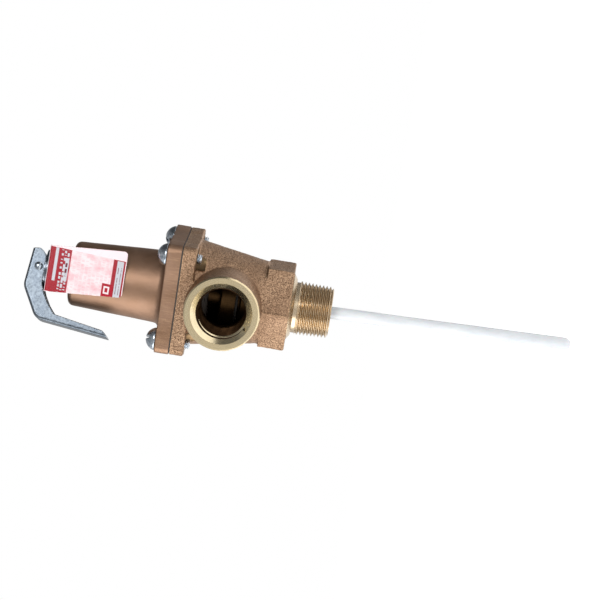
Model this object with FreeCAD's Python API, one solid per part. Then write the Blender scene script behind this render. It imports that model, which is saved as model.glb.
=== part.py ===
import FreeCAD, Part
import math
import os

from FreeCAD import Vector

# Temperature and pressure relief valve, flanged cast bronze pattern, in millimetres.
# Z is the valve's axis and points at the test lever. Z = 0 is the end of the inlet thread.
# The outlet faces -Y. Angles about Z are measured from -Y towards +X.

# Both pipe threads are 3/4-14 NPT
thread_pitch = 25.4 / 14
thread_taper = 1 / 32  # radius gained per millimetre of length
thread_depth = 0.8 * thread_pitch
crest_flat = 0.45
root_flat = 0.12

# Inlet end of the body
inlet_crest_r = 13.02  # at the small end
inlet_chamfer = 0.4
inlet_thread_len = 18.9
inlet_bore_r = 8.6
inlet_plain_len = 2.0  # between the last turn of the thread and the collar
collar_low_r = 14.0
collar_r = 16.5  # where it meets the hexagon
collar_len = 1.6
hex_flats = 41.275
hex_len = 13.9
hex_chamfer = 1.2

# Body cone, chamber and flange
cone_small_r = 21.2
cone_large_r = 27.0
cone_len = 35.1
floor_thickness = 7.6  # from the end of the hexagon up to the chamber's floor
chamber_r = 19.0
seat_pocket_r = 12.0
seat_pocket_depth = 6.5

# Flange pair and its screws
flange_half = 28.0
flange_ear = 12.0
flange_waist = 0.5
flange_ramp = 5.0
flange_corner_r = 4.0
body_flange_thickness = 6.85
bonnet_flange_thickness = 7.2
screw_offset = 21.7  # from the axis, along X and along Y
screw_r = 2.75
screw_hole_clearance = 0.3
screw_head_r = 5.6
screw_head_height = 4.9
screw_head_rim = 0.7
screw_lead = 0.6
screw_slot_width = 1.3
screw_slot_depth = 1.9
screw_end_beyond = 2.3  # how far the tips stand out behind the body flange
spot_face_r = 5.6
spot_face_depth = 4.6

# Outlet boss
outlet_z = 53.3
boss_r = 19.0
boss_face = 38.0  # from the valve's axis
boss_chamfer = 1.0
countersink_r = 15.3
outlet_crest_r = 11.85  # at the mouth of the thread
outlet_thread_turns = 8
outlet_bore_r = 11.0

# Bonnet
bonnet_base_r = 18.75
bonnet_top_r = 16.3
bonnet_len = 47.75  # above its flange
bonnet_cove_r = 3.5
bonnet_round_r = 3.0
bonnet_wall = 2.9
bonnet_top_thickness = 7.0

# Seat, disc and the pieces that lift with the stem
seat_height = 11.5  # of the seat ring, from the bottom of its pocket less the bracket
seat_lip_r = 9.8
seat_lip_width = 0.9
seat_lip_height = 0.8
disc_r = 12.2
disc_thickness = 3.2
disc_holder_r = 14.0
disc_holder_skirt = 2.0
disc_holder_plate = 5.8
disc_holder_hub_r = 7.0
disc_holder_hub = 6.0
disc_screw_r = 2.5
disc_screw_head_r = 4.5
disc_screw_head_height = 2.4
disc_screw_grip = 3.5
disc_washer_r = 7.6
disc_washer_thickness = 1.0
stem_r = 3.175
stem_grip = 7.5
stem_nut_flats = 11.1
stem_nut_height = 4.0
slide_clearance = 0.06
loose_clearance = 0.4

# Diaphragm
diaphragm_thickness = 0.8
diaphragm_flat_r = 13.8
diaphragm_rim_r = 18.2
diaphragm_inset = 0.5

# Spring and its plates
spring_wire_r = 1.5
spring_mean_r = 10.8
spring_len = 57.2
spring_turns = 8.5
plate_r = 12.9
plate_thickness = 2.0
plate_hub_r = 8.7
plate_hub_height = 5.2

# Adjusting screw and lock nut at the top of the bonnet
adjuster_r = 8.0
adjuster_bore_r = stem_r + slide_clearance
adjuster_flats = 13.0
adjuster_above = 10.1  # from the bonnet's top to the shoulder that carries the tag
adjuster_neck_r = 5.6
adjuster_neck = 0.8
lock_nut_flats = 17.5
lock_nut_height = 5.0
nut_chamfer = 0.8

# Heel washer
heel_washer_r = 9.7
heel_washer_thickness = 2.22
heel_washer_bevel = 0.9
stack_gap = 0.05

# Identification tag, a folded plate
tag_turn = 15.0
tag_thickness = 0.6
tag_width = 23.2
tag_length = 38.8
tag_distance = 18.6
tag_shift = 2.4  # how far its lower end stands to one side
tag_bend_r = 1.2
tag_corner_r = 2.0
tag_hole_clearance = 0.3
tag_end_r = 9.0

# Lever, a pressed channel, in (height above the pin, distance along the arm) pairs
lever_turn = -70.0
lever_width = 15.0
lever_sheet = 1.5
lever_bend_r = 1.4
pin_above_washer = 3.21
cam_base = 3.15  # pin to heel at rest
cam_rise = 4.4  # lift for one radian of lever, in millimetres
cam_end = 1.15  # radians, a little past the lever's full travel
lever_eye_gap = 0.41  # between the stem's round end and the spine
lever_crown = [-8.8, 10.4]  # distances along the arm where the spine over the stem starts and ends
lever_crown_tilt = 5.95  # degrees
lever_arm = [(-2.3, 26.2), (-39.9, 30.6)]
lever_spine_radii = [7.0, 6.0]
lever_inner = [(-4.8, 13.0), (-7.6, 17.9), (-10.9, 21.9), (-11.2, 22.7), (-20.6, 24.4), (-36.7, 27.2)]
lever_heel_flat = 8.6
lever_tip_step = (2.3, 1.6)

# Pivot pin
pin_r = 1.5
pin_clearance = 0.05
pin_head_r = 2.1
pin_head_height = 0.8
pin_head_rim = 0.2
pin_head_gap = 0.1

# Thermostat: probe, head, bracket and push rod
probe_reach = 122.0  # below the end of the inlet thread
probe_r = 3.15
probe_coating = 0.4
probe_wall = 0.55
coating_top = 14.0
probe_lean = 1.35  # degrees from the valve's axis, towards +X
probe_bend_z = 8.0
probe_bend_r = 400.0
head_r = 4.8
head_bottom = 18.0
head_flange_r = 6.3
head_flange_thickness = 1.5
head_socket = 9.0
clip_r = 6.4
clip_thickness = 1.0
clip_groove_r = 4.2
bracket_thickness = 1.5
bracket_rim_r = 10.4
bracket_hub_r = 6.2
bracket_spoke_width = 3.0
bracket_spokes = 3
tube_end = 1.0
wax_top = 10.0
seal_len = 10.0
push_rod_r = 1.6
push_rod_gap = 1.2  # left under the disc screw when the water is cold

# Levels along the axis that follow from the sizes above
hex_z = inlet_thread_len + collar_len
cone_z = hex_z + hex_len
floor_z = cone_z + floor_thickness
flange_z = cone_z + cone_len
joint_z = flange_z + body_flange_thickness
bonnet_z = joint_z + diaphragm_thickness
bonnet_flange_top = bonnet_z + bonnet_flange_thickness
bonnet_top = bonnet_flange_top + bonnet_len
pocket_z = floor_z - seat_pocket_depth
seat_ring_z = pocket_z + bracket_thickness
seat_z = seat_ring_z + seat_height - bracket_thickness
disc_top = seat_z + disc_thickness
holder_plate_top = disc_top + disc_holder_plate
holder_top = holder_plate_top + disc_holder_hub
plate_z = holder_top + diaphragm_thickness
spring_z = plate_z + plate_thickness
spring_top = spring_z + spring_len
upper_plate_top = spring_top + plate_thickness
shoulder_z = bonnet_top + adjuster_above
neck_top = shoulder_z + adjuster_neck
washer_z = neck_top + stack_gap
washer_top = washer_z + heel_washer_thickness
pin_z = washer_top + pin_above_washer
disc_screw_bottom = seat_z - disc_washer_thickness - disc_screw_head_height
push_rod_top = disc_screw_bottom - push_rod_gap
tube_r = probe_r - probe_coating
tube_bore_r = tube_r - probe_wall
head_top = seat_ring_z + head_flange_thickness
crown_height = (stem_r + lever_eye_gap + lever_sheet) / math.cos(math.radians(lever_crown_tilt))
crown_slope = math.tan(math.radians(lever_crown_tilt))
lever_spine = [(crown_height + crown_slope * v, v) for v in lever_crown] + lever_arm

# Checks on the chosen sizes
assert cone_small_r - chamber_r > 1.5
assert bonnet_top_r - bonnet_wall > plate_r
assert spring_mean_r + spring_wire_r < plate_r
assert push_rod_top > head_top
assert upper_plate_top < bonnet_top


def turn_about_z(shape, angle):
    """The shape, whose front faces +X, turned to face the angle measured from -Y towards +X."""
    return shape.rotate(Vector(0, 0, 0), Vector(0, 0, 1), angle - 90)


def revolve(points):
    """A solid of revolution about Z from (radius, height) points."""
    corners = [Vector(r, 0, z) for r, z in points]
    face = Part.Face(Part.makePolygon(corners + corners[:1]))
    return face.revolve(Vector(0, 0, 0), Vector(0, 0, 1), 360)


def cylinder(radius, low, high, x=0.0, y=0.0):
    return Part.makeCylinder(radius, high - low, Vector(x, y, low))


def tube(outer, inner, low, high):
    return revolve([(inner, low), (outer, low), (outer, high), (inner, high)])


def hexagon(flats, low, high, turn=0.0):
    """A hexagonal prism with one corner at the angle turn from -Y."""
    corner = flats / math.sqrt(3)
    angles = [math.radians(turn - 90 + 60 * k) for k in range(7)]
    loop = [Vector(corner * math.cos(a), corner * math.sin(a), low) for a in angles]
    return Part.Face(Part.makePolygon(loop)).extrude(Vector(0, 0, high - low))


def chamfered_hexagon(flats, low, high, chamfer, ends):
    """A hexagonal prism whose corners are turned off at its "low" and "high" ends."""
    corner = flats / math.sqrt(3)
    low_r = corner - chamfer * ("low" in ends)
    high_r = corner - chamfer * ("high" in ends)
    slope = chamfer / 2
    lower = [(0, low), (low_r, low), (corner, low + slope)]
    upper = [(corner, high - slope), (high_r, high), (0, high)]
    turned = revolve(lower + upper)
    return hexagon(flats, low, high).common(turned)


def dome(radius, rise, low):
    """A spherical cap standing on the level low."""
    ball = (radius**2 + rise**2) / (2 * rise)
    centre = low + rise - ball
    half = math.asin(radius / ball) / 2
    middle = Vector(ball * math.sin(half), 0, centre + ball * math.cos(half))
    edge = Vector(radius, 0, low)
    apex = Vector(0, 0, low + rise)
    foot = Vector(0, 0, low)
    curve = Part.Arc(edge, middle, apex).toShape()
    outline = Part.Wire([Part.makeLine(foot, edge), curve, Part.makeLine(apex, foot)])
    return Part.Face(outline).revolve(Vector(0, 0, 0), Vector(0, 0, 1), 360)


def thread_profile(crest_r, first, turns, taper, depth):
    """Points of a ringed pipe thread as (radius, distance) pairs, with a cylindrical land on each crest."""
    points = []
    for turn in range(turns):
        at = first + turn * thread_pitch
        crest = crest_r + taper * at
        points += [(crest, at), (crest, at + crest_flat)]
        if turn < turns - 1:
            middle = at + (crest_flat + thread_pitch) / 2
            root = crest - depth + taper * thread_pitch / 2
            points += [(root, middle - root_flat / 2), (root, middle + root_flat / 2)]
    return points


def rounded_path(points, radii):
    """Edges of a path of straight runs in the XZ plane, with a tangent arc at each inner corner."""
    spots = [Vector(v, 0, u) for u, v in points]
    edges, start = [], spots[0]
    for before, corner, after, radius in zip(spots, spots[1:], spots[2:], radii):
        back = (before - corner).normalize()
        ahead = (after - corner).normalize()
        half = back.getAngle(ahead) / 2
        reach = radius / math.tan(half)
        middle = (back + ahead).normalize() * (radius / math.sin(half) - radius) + corner
        edges.append(Part.makeLine(start, corner + back * reach))
        edges.append(Part.Arc(corner + back * reach, middle, corner + ahead * reach).toShape())
        start = corner + ahead * reach
    edges.append(Part.makeLine(start, spots[-1]))
    return edges


def offset_path(points, distance):
    """The same path, given as (u, v) pairs, moved by the distance to the side that faces -u."""
    lines = []
    for (u0, v0), (u1, v1) in zip(points, points[1:]):
        length = math.hypot(u1 - u0, v1 - v0)
        du, dv = (u1 - u0) / length, (v1 - v0) / length
        lines.append(((u0 - dv * distance, v0 + du * distance), (du, dv)))
    moved = [lines[0][0]]
    for ((ua, va), (dua, dva)), ((ub, vb), (dub, dvb)) in zip(lines, lines[1:]):
        along = ((ub - ua) * dvb - (vb - va) * dub) / (dua * dvb - dva * dub)
        moved.append((ua + dua * along, va + dva * along))
    (ul, vl), (dul, dvl) = lines[-1]
    last = math.hypot(points[-1][0] - points[-2][0], points[-1][1] - points[-2][1])
    moved.append((ul + dul * last, vl + dvl * last))
    return moved


def run_on(before, point, distance=10.0):
    """The point moved on past itself by the distance, away from the one before."""
    length = math.hypot(point[0] - before[0], point[1] - before[1])
    return tuple(p + (p - b) * distance / length for p, b in zip(point, before))


def flange_plate(low, high, inset=0.0):
    """The square flange: an ear at each corner and a shallow waist along each side."""
    half, waist = flange_half - inset, flange_half - flange_waist - inset
    ear_end = flange_half - flange_ear
    side = [
        (-half + flange_corner_r, half),
        (-ear_end, half),
        (-ear_end + flange_ramp, waist),
        (ear_end - flange_ramp, waist),
        (ear_end, half),
        (half - flange_corner_r, half),
    ]
    bulge = half - flange_corner_r * (1 - math.sqrt(0.5))
    edges = []
    for quarter in range(4):
        spin = FreeCAD.Rotation(Vector(0, 0, 1), -90 * quarter)
        spots = [spin.multVec(Vector(x, y, low)) for x, y in side]
        corner_mid = spin.multVec(Vector(bulge, bulge, low))
        corner_end = spin.multVec(Vector(half, half - flange_corner_r, low))
        edges += [Part.makeLine(a, b) for a, b in zip(spots, spots[1:])]
        edges.append(Part.Arc(spots[-1], corner_mid, corner_end).toShape())
    return Part.Face(Part.Wire(edges)).extrude(Vector(0, 0, high - low))


def screw_places():
    return [(x, y) for x in (-screw_offset, screw_offset) for y in (-screw_offset, screw_offset)]


def inlet_end():
    """The threaded inlet and the tapered collar behind it, as a solid round bar."""
    turns = int((inlet_thread_len - inlet_chamfer - inlet_plain_len) / thread_pitch)
    crests = thread_profile(inlet_crest_r, inlet_chamfer, turns, thread_taper, thread_depth)
    run_out_r = crests[-1][0] - thread_depth * 0.55
    run_out_z = crests[-1][1] + thread_depth * 0.6
    return revolve(
        [(0, 0), (inlet_crest_r - 2 * inlet_chamfer, 0)]
        + crests
        + [(run_out_r, run_out_z), (run_out_r, inlet_thread_len)]
        + [(collar_low_r, inlet_thread_len), (collar_r, hex_z), (0, hex_z)]
    )


def outlet_cavity():
    """The outlet's countersink, thread and bore, as the solid that is cut away."""
    sink = countersink_r - outlet_crest_r
    crests = thread_profile(outlet_crest_r, sink, outlet_thread_turns, -thread_taper, -thread_depth)
    end = crests[-1][1]
    profile = [(0, -1), (countersink_r, -1), (countersink_r, 0)] + crests
    profile += [(outlet_bore_r, end), (outlet_bore_r, boss_face), (0, boss_face)]
    cavity = revolve(profile)
    cavity.rotate(Vector(0, 0, 0), Vector(1, 0, 0), -90)
    return cavity.translate(Vector(0, -boss_face, outlet_z))


def outlet_boss():
    edge = [(boss_r - boss_chamfer, 0), (boss_r, boss_chamfer)]
    boss = revolve([(0, 0)] + edge + [(boss_r, boss_face), (0, boss_face)])
    boss.rotate(Vector(0, 0, 0), Vector(1, 0, 0), -90)
    return boss.translate(Vector(0, -boss_face, outlet_z))


def valve_body():
    """The casting: threaded inlet, hexagon, cone, flange and side outlet, bored and tapped."""
    cone = revolve([(0, cone_z), (cone_small_r, cone_z), (cone_large_r, flange_z), (0, flange_z)])
    solid = inlet_end().fuse(
        [
            chamfered_hexagon(hex_flats, hex_z, cone_z, hex_chamfer, ("low",)),
            cone,
            flange_plate(flange_z, joint_z),
            outlet_boss(),
        ]
    )
    pocket = cylinder(seat_pocket_r, pocket_z, floor_z)
    chamber = cylinder(chamber_r, floor_z, joint_z + 1)
    solid = solid.cut(cylinder(inlet_bore_r, -1, pocket_z).fuse([pocket, chamber, outlet_cavity()]))
    for x, y in screw_places():
        solid = solid.cut(cylinder(screw_r, flange_z - spot_face_depth, joint_z + 1, x, y))
        solid = solid.cut(cylinder(spot_face_r, flange_z - spot_face_depth, flange_z, x, y))
    return solid.removeSplitter()


def seat_ring():
    """The seat, pressed into its pocket over the thermostat's bracket."""
    lip_inner = seat_lip_r - seat_lip_width
    lip_z = seat_z - seat_lip_height
    return revolve(
        [
            (inlet_bore_r, seat_ring_z),
            (seat_pocket_r, seat_ring_z),
            (seat_pocket_r, lip_z - 1),
            (seat_pocket_r - 1, lip_z),
            (seat_lip_r, lip_z),
            (seat_lip_r, seat_z),
            (lip_inner, seat_z),
            (inlet_bore_r, lip_z),
        ]
    )


def seat_disc():
    return tube(disc_r, disc_screw_r, seat_z, disc_top)


def disc_washer():
    return tube(disc_washer_r, disc_screw_r, seat_z - disc_washer_thickness, seat_z)


def disc_screw():
    head_top_z = seat_z - disc_washer_thickness
    head = hexagon(2 * disc_screw_head_r * math.cos(math.radians(30)), disc_screw_bottom, head_top_z)
    return head.fuse(cylinder(disc_screw_r, head_top_z, disc_top + disc_screw_grip)).removeSplitter()


def disc_holder():
    """The cup that carries the disc, with a hub that the stem screws into."""
    cup = revolve(
        [
            (0, disc_top),
            (disc_r, disc_top),
            (disc_r, disc_top - disc_holder_skirt),
            (disc_holder_r, disc_top - disc_holder_skirt),
            (disc_holder_r, holder_plate_top - 1),
            (disc_holder_r - 1, holder_plate_top),
            (disc_holder_hub_r, holder_plate_top),
            (disc_holder_hub_r, holder_top),
            (0, holder_top),
        ]
    )
    cup = cup.cut(cylinder(disc_screw_r, disc_top, disc_top + disc_screw_grip))
    return cup.cut(cylinder(stem_r, holder_top - stem_grip, holder_top))


def diaphragm():
    """The rubber bell between the flanges, closed on the stem below and clamped at its rim."""
    inner_r = diaphragm_rim_r - diaphragm_thickness
    knee = 1.5
    bell = revolve(
        [
            (stem_r, holder_top),
            (diaphragm_flat_r, holder_top),
            (diaphragm_flat_r + knee, holder_top + knee),
            (diaphragm_rim_r, joint_z),
            (diaphragm_rim_r, bonnet_z),
            (inner_r, bonnet_z),
            (diaphragm_flat_r + knee - diaphragm_thickness, holder_top + knee + diaphragm_thickness / 2),
            (diaphragm_flat_r - diaphragm_thickness / 2, plate_z),
            (stem_r, plate_z),
        ]
    )
    rim = flange_plate(joint_z, bonnet_z, diaphragm_inset).cut(cylinder(inner_r, joint_z, bonnet_z))
    for x, y in screw_places():
        rim = rim.cut(cylinder(screw_r + screw_hole_clearance, joint_z, bonnet_z, x, y))
    return bell.fuse(rim).removeSplitter()


def lower_spring_plate():
    top = plate_z + plate_hub_height
    return revolve(
        [
            (stem_r, plate_z),
            (plate_r, plate_z),
            (plate_r, spring_z),
            (plate_hub_r, spring_z),
            (plate_hub_r, top - 1),
            (plate_hub_r - 1, top),
            (stem_r, top),
        ]
    )


def stem_nut():
    low = plate_z + plate_hub_height
    nut = chamfered_hexagon(stem_nut_flats, low, low + stem_nut_height, nut_chamfer / 2, ("low", "high"))
    return nut.cut(cylinder(stem_r, low, low + stem_nut_height))


def stem():
    """The lifting rod, with a round end that turns under the lever's spine."""
    rod = cylinder(stem_r, holder_top - stem_grip, pin_z)
    rod = rod.fuse(Part.makeSphere(stem_r, Vector(0, 0, pin_z)))
    hole = Part.makeCylinder(pin_r, 4 * stem_r, Vector(0, -2 * stem_r, pin_z), Vector(0, 1, 0))
    return turn_about_z(rod.cut(hole).removeSplitter(), lever_turn)


def spring():
    """The main spring, wound on a constant pitch and ground flat at both ends."""
    pitch = (spring_len + 2 * spring_wire_r) / spring_turns
    helix = Part.makeHelix(pitch, pitch * spring_turns, spring_mean_r)
    lead = Vector(0, 2 * math.pi * spring_mean_r, pitch)
    section = Part.Wire(Part.makeCircle(spring_wire_r, Vector(spring_mean_r, 0, 0), lead))
    coil = Part.Wire(helix.Edges).makePipeShell([section], True, True)
    coil.translate(Vector(0, 0, spring_z - spring_wire_r))
    return coil.common(cylinder(spring_mean_r + 2 * spring_wire_r, spring_z, spring_top))


def upper_spring_plate():
    step = spring_top - plate_hub_height + plate_thickness
    return revolve(
        [
            (stem_r + loose_clearance, step),
            (plate_hub_r - 1, step),
            (plate_hub_r, step + 1),
            (plate_hub_r, spring_top),
            (plate_r, spring_top),
            (plate_r, upper_plate_top),
            (stem_r + loose_clearance, upper_plate_top),
        ]
    )


def rings_at(solid, level, radius):
    """The solid's whole circular edges of that radius at that level."""
    whole = [e for e in solid.Edges if isinstance(e.Curve, Part.Circle) and len(e.Vertexes) == 1]
    near = [e for e in whole if abs(e.Curve.Center.z - level) < 0.01]
    return [e for e in near if abs(e.Curve.Radius - radius) < 0.01]


def bonnet():
    """The smooth tapered spring housing with its square flange."""
    taper = (bonnet_base_r - bonnet_top_r) / bonnet_len
    cone = revolve(
        [(0, bonnet_z), (bonnet_base_r, bonnet_z), (bonnet_base_r, bonnet_flange_top)]
        + [(bonnet_top_r, bonnet_top), (0, bonnet_top)]
    )
    solid = flange_plate(bonnet_z, bonnet_flange_top).fuse(cone).removeSplitter()
    solid = solid.makeFillet(bonnet_cove_r, rings_at(solid, bonnet_flange_top, bonnet_base_r))
    solid = solid.makeFillet(bonnet_round_r, rings_at(solid, bonnet_top, bonnet_top_r))
    ceiling = bonnet_top - bonnet_top_thickness
    low_r = bonnet_base_r - bonnet_wall
    high_r = low_r - taper * (ceiling - bonnet_flange_top)
    mouth = [(0, bonnet_z - 1), (low_r, bonnet_z - 1), (low_r, bonnet_flange_top)]
    hollow = revolve(mouth + [(high_r, ceiling), (0, ceiling)])
    solid = solid.cut(hollow.fuse(cylinder(adjuster_r, ceiling - 1, bonnet_top + 1)))
    for x, y in screw_places():
        hole = cylinder(screw_r + screw_hole_clearance, bonnet_z - 1, bonnet_flange_top + 1, x, y)
        solid = solid.cut(hole)
    return solid


def adjusting_screw():
    """The hollow screw that sets the spring, with flats for a wrench and a neck for the tag."""
    top_r = adjuster_r - 0.5
    low = bonnet_top + lock_nut_height
    body = revolve(
        [
            (adjuster_bore_r, upper_plate_top),
            (adjuster_r - 0.8, upper_plate_top),
            (adjuster_r, upper_plate_top + 0.8),
            (adjuster_r, low),
            (top_r, low + 0.5),
            (top_r, shoulder_z),
            (adjuster_neck_r, shoulder_z),
            (adjuster_neck_r, neck_top),
            (adjuster_bore_r, neck_top),
        ]
    )
    for side in (-1, 1):
        flat = Part.makeBox(4, 20, shoulder_z - low - 1, Vector(adjuster_flats / 2, -10, low + 1))
        body = body.cut(flat.rotate(Vector(0, 0, 0), Vector(0, 0, 1), 90 - 90 * side))
    return body


def lock_nut():
    top = bonnet_top + lock_nut_height
    nut = chamfered_hexagon(lock_nut_flats, bonnet_top, top, nut_chamfer, ("low", "high"))
    return nut.cut(cylinder(adjuster_r, bonnet_top, top))


def flange_screw(x, y):
    """A slotted round-head machine screw, driven from the bonnet side."""
    tip = flange_z - screw_end_beyond
    seat = bonnet_flange_top
    lead = [(screw_r - screw_lead, tip), (screw_r, tip + screw_lead)]
    shank = revolve([(0, tip)] + lead + [(screw_r, seat), (0, seat)])
    head = cylinder(screw_head_r, seat, seat + screw_head_rim)
    head = head.fuse(dome(screw_head_r, screw_head_height - screw_head_rim, seat + screw_head_rim))
    slot_floor = bonnet_flange_top + screw_head_height - screw_slot_depth
    corner = Vector(-2 * screw_head_r, -screw_slot_width / 2, slot_floor)
    slot = Part.makeBox(4 * screw_head_r, screw_slot_width, 2 * screw_slot_depth, corner)
    slot.rotate(Vector(0, 0, 0), Vector(0, 0, 1), 25 * x / screw_offset + 40 * y / screw_offset)
    return shank.fuse(head).cut(slot).removeSplitter().translate(Vector(x, y, 0))


def heel_washer():
    """The washer that the lever's heel works on."""
    bore = stem_r + slide_clearance
    return revolve(
        [
            (bore, washer_z),
            (heel_washer_r - heel_washer_bevel, washer_z),
            (heel_washer_r, washer_z + heel_washer_bevel),
            (heel_washer_r, washer_top),
            (bore, washer_top),
        ]
    )


def id_tag():
    """The folded identification plate: a tab on the adjusting screw's neck and a leaf beside the bonnet."""
    low = shoulder_z + stack_gap
    high = low + tag_thickness
    half = tag_width / 2
    bend = tag_distance + tag_thickness - tag_bend_r
    leaf_top = high - tag_bend_r
    leaf_low = high - tag_length
    tab = cylinder(tag_end_r, low, high)
    tab = tab.fuse(Part.makeBox(bend, 2 * tag_end_r, tag_thickness, Vector(0, -tag_end_r, low)))
    loop = [(tag_end_r, -tag_end_r), (bend, -half), (bend, half), (tag_end_r, tag_end_r)]
    loop = [Vector(x, y, low) for x, y in loop]
    tab = tab.fuse(Part.Face(Part.makePolygon(loop + loop[:1])).extrude(Vector(0, 0, tag_thickness)))
    corner, across = Vector(bend, -half, leaf_top), Vector(0, 1, 0)
    fold = Part.makeCylinder(tag_bend_r, tag_width, corner, across)
    fold = fold.cut(Part.makeCylinder(tag_bend_r - tag_thickness, tag_width, corner, across))
    fold = fold.common(Part.makeBox(tag_bend_r, tag_width, tag_bend_r, corner))
    loop = [(-half, leaf_top), (half, leaf_top), (half + tag_shift, leaf_low), (-half + tag_shift, leaf_low)]
    loop = [Vector(tag_distance, y, z) for y, z in loop]
    leaf = Part.Face(Part.makePolygon(loop + loop[:1])).extrude(Vector(tag_thickness, 0, 0))
    lower = [e for e in leaf.Edges if e.BoundBox.ZMax < leaf_low + 0.01 and e.BoundBox.XLength > 0.1]
    leaf = leaf.makeFillet(tag_corner_r, lower)
    plate = tab.fuse([fold, leaf]).cut(cylinder(adjuster_neck_r + tag_hole_clearance, low - 1, high + 1))
    return turn_about_z(plate.removeSplitter(), tag_turn)


def lies_over(point, others):
    """Whether one of the others stands at the same place as the point, seen along Y."""
    return any(math.hypot(point.x - o.x, point.z - o.z) < 0.01 for o in others)


def cam_edge():
    """The heel, an involute of the circle of radius cam_rise, so its lift grows evenly with the angle."""
    spots = []
    steps = 8
    for step in range(steps + 1):
        angle = cam_end * step / steps
        reach = cam_base + cam_rise * angle
        up = -reach * math.cos(angle) + cam_rise * math.sin(angle)
        along = -reach * math.sin(angle) - cam_rise * math.cos(angle)
        spots.append(Vector(along, 0, up))
    curve = Part.BSplineCurve()
    curve.interpolate(spots)
    return curve.toShape(), spots[0], spots[-1]


def lever():
    """The pressed channel: a spine over two side walls that end in the cam-shaped heel."""
    half = lever_width / 2
    cam, heel, cam_top = cam_edge()
    spine = rounded_path(lever_spine, lever_spine_radii)
    tip = spine[-1].Vertexes[-1].Point
    inner = [Vector(v, 0, u) for u, v in lever_inner]
    toe = tip - Vector(lever_tip_step[1], 0, -lever_tip_step[0] / 2)
    front = [tip, toe] + inner[::-1] + [Vector(lever_heel_flat, 0, -cam_base), heel]
    edges = spine + [Part.makeLine(a, b) for a, b in zip(front, front[1:])]
    edges += [cam, Part.makeLine(cam_top, spine[0].Vertexes[0].Point)]
    side = Part.Face(Part.Wire(Part.sortEdges(edges)[0]))
    side.translate(Vector(0, -half, 0))
    block = side.extrude(Vector(0, lever_width, 0))
    middles = [e.CenterOfMass for e in spine]
    sharp = [e for e in block.Edges if e.BoundBox.YLength < 0.01 and lies_over(e.CenterOfMass, middles)]
    block = block.makeFillet(lever_bend_r, sharp)
    under = offset_path(lever_spine, lever_sheet)
    under = [run_on(under[1], under[0])] + under[1:-1] + [run_on(under[-2], under[-1])]
    roof = rounded_path(under, [r - lever_sheet for r in lever_spine_radii])
    start, end = roof[0].Vertexes[0].Point, roof[-1].Vertexes[-1].Point
    away = -2 * lever_width
    far = [end, Vector(away, 0, end.z), Vector(away, 0, start.z), start]
    roof += [Part.makeLine(a, b) for a, b in zip(far, far[1:])]
    room = Part.Face(Part.Wire(Part.sortEdges(roof)[0]))
    room.translate(Vector(0, lever_sheet - half, 0))
    channel = block.cut(room.extrude(Vector(0, lever_width - 2 * lever_sheet, 0)))
    hole_r = pin_r + pin_clearance
    hole = Part.makeCylinder(hole_r, 2 * lever_width, Vector(0, -lever_width, 0), Vector(0, 1, 0))
    channel = channel.cut(hole)
    channel.translate(Vector(0, 0, pin_z))
    return turn_about_z(channel, lever_turn)


def pivot_pin():
    """The headed rivet through the lever's walls and the stem's eye."""
    reach = lever_width / 2 + pin_head_gap
    rim = reach + pin_head_rim
    pin = cylinder(pin_r, -reach, reach)
    for side in (0, 180):
        head = cylinder(pin_head_r, reach, rim).fuse(dome(pin_head_r, pin_head_height - pin_head_rim, rim))
        pin = pin.fuse(head.rotate(Vector(0, 0, 0), Vector(1, 0, 0), side))
    pin.rotate(Vector(0, 0, 0), Vector(1, 0, 0), 90)
    pin.translate(Vector(0, 0, pin_z))
    return turn_about_z(pin.removeSplitter(), lever_turn)


def probe_line(top, low):
    """The probe's centre line: down the axis, round a slight bend and straight on to the level low."""
    lean = math.radians(probe_lean)

    def on_bend(angle):
        across = probe_bend_r * (1 - math.cos(angle))
        return Vector(across, 0, probe_bend_z - probe_bend_r * math.sin(angle))

    bend = on_bend(lean)
    end = Vector(bend.x + (bend.z - low) * math.tan(lean), 0, low)
    down = Part.makeLine(Vector(0, 0, top), on_bend(0))
    turn = Part.Arc(on_bend(0), on_bend(lean / 2), bend).toShape()
    return Part.Wire([down, turn, Part.makeLine(bend, end)]), end


def leaning_rod(radius, top, low):
    line, end = probe_line(top, low)
    section = Part.Wire(Part.makeCircle(radius, Vector(0, 0, top)))
    return line.makePipeShell([section], True, False), end


def probe_coating_sleeve():
    """The white plastic skin of the probe, with a rounded end."""
    tip_z = probe_r - probe_reach
    skin, end = leaning_rod(probe_r, coating_top, tip_z)
    core, _ = leaning_rod(tube_r, coating_top, tip_z)
    return skin.fuse(Part.makeSphere(probe_r, end)).cut(core).removeSplitter()


def probe_tube():
    """The closed copper tube that holds the wax."""
    low = probe_r - probe_reach
    top = head_bottom + head_socket
    wall, _ = leaning_rod(tube_r, top, low)
    bore, _ = leaning_rod(tube_bore_r, top, low + tube_end)
    return wall.cut(bore)


def wax_charge():
    charge, _ = leaning_rod(tube_bore_r, wax_top, probe_r - probe_reach + tube_end)
    return charge


def piston_seal():
    return cylinder(tube_bore_r, wax_top, wax_top + seal_len)


def push_rod():
    top = push_rod_top
    low = wax_top + seal_len
    return revolve([(0, low), (push_rod_r, low), (push_rod_r, top - 0.5), (push_rod_r - 0.5, top), (0, top)])


def thermostat_head():
    """The brass head that joins the tube to the bracket and guides the push rod."""
    clip_z = pocket_z - clip_thickness
    bore = push_rod_r + slide_clearance
    return revolve(
        [
            (tube_r, head_bottom),
            (head_r, head_bottom),
            (head_r, clip_z),
            (clip_groove_r, clip_z),
            (clip_groove_r, pocket_z),
            (head_r, pocket_z),
            (head_r, seat_ring_z),
            (head_flange_r, seat_ring_z),
            (head_flange_r, head_top),
            (bore, head_top),
            (bore, head_bottom + head_socket),
            (tube_r, head_bottom + head_socket),
        ]
    )


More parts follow.
